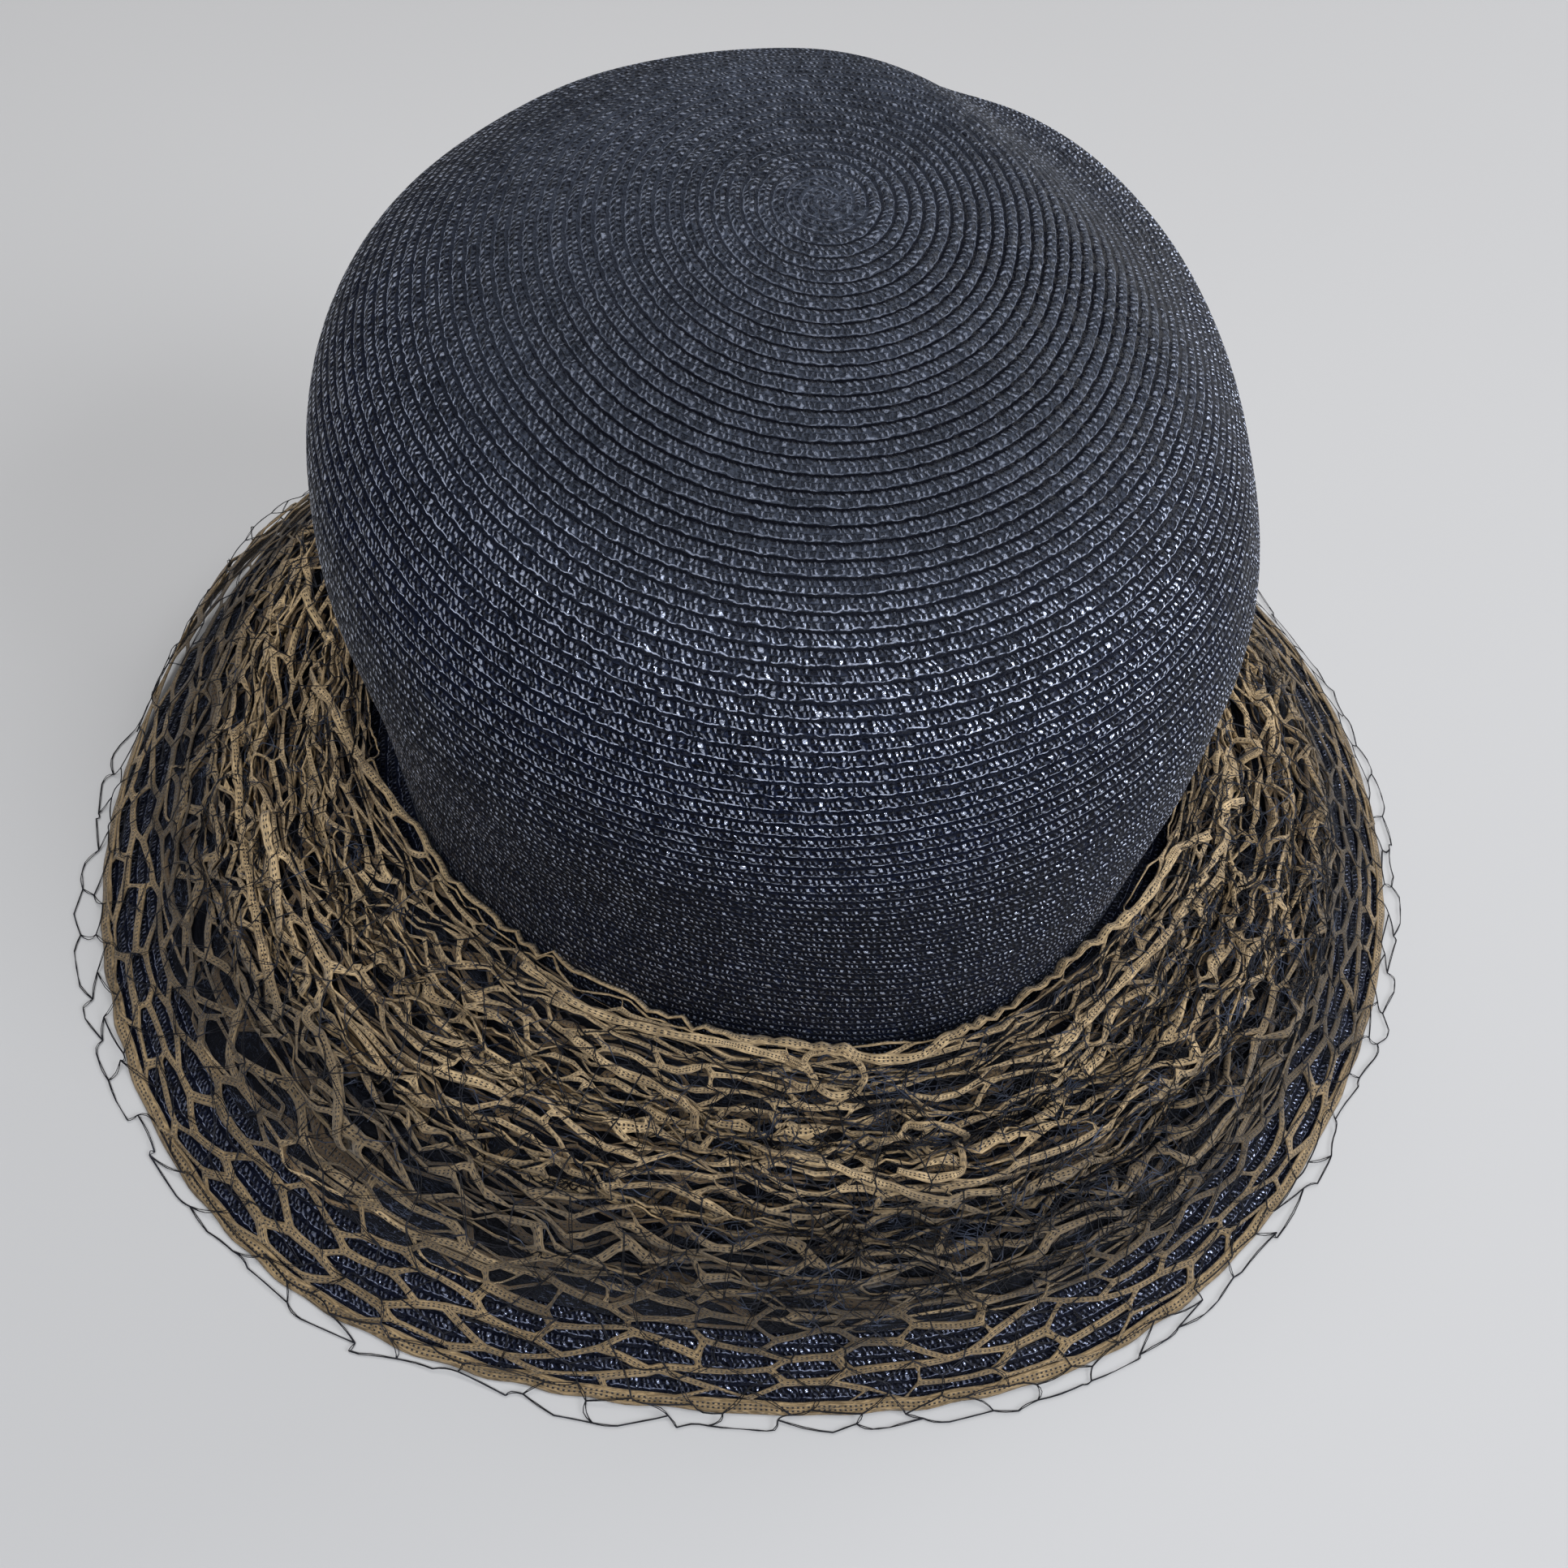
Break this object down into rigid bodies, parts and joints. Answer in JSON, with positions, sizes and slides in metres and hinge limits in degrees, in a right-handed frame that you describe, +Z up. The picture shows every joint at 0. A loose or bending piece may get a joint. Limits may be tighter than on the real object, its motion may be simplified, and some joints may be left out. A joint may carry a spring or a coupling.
{
  "type": "woven straw bucket hat with gathered lace and a veil net",
  "caption": "Tall soft crown of sewn straw braid with a drooping brim, gathered honeycomb lace folded round the crown, and a fine veil net over the brim.",
  "frame": {"origin": "middle of the bounding box, on the flat surface that the rim of the brim rests on", "axes": "+Z up through the crown, front of the hat towards -Y, wearer's left towards +X"},
  "size_m": [0.304, 0.31, 0.1555],
  "materials": {
    "straw_braid": "shiny synthetic straw braid",
    "honeycomb_lace": "matt woven lace tape",
    "veil_net": "fine twisted net"
  },
  "bodies": {
    "root": {"crown": "straw_braid", "brim": "straw_braid", "lace_fold_upper": "honeycomb_lace", "lace_fold_middle": "honeycomb_lace", "lace_fold_lower": "honeycomb_lace", "lace_cover": "honeycomb_lace", "veil": "veil_net"}
  },
  "joints": []
}
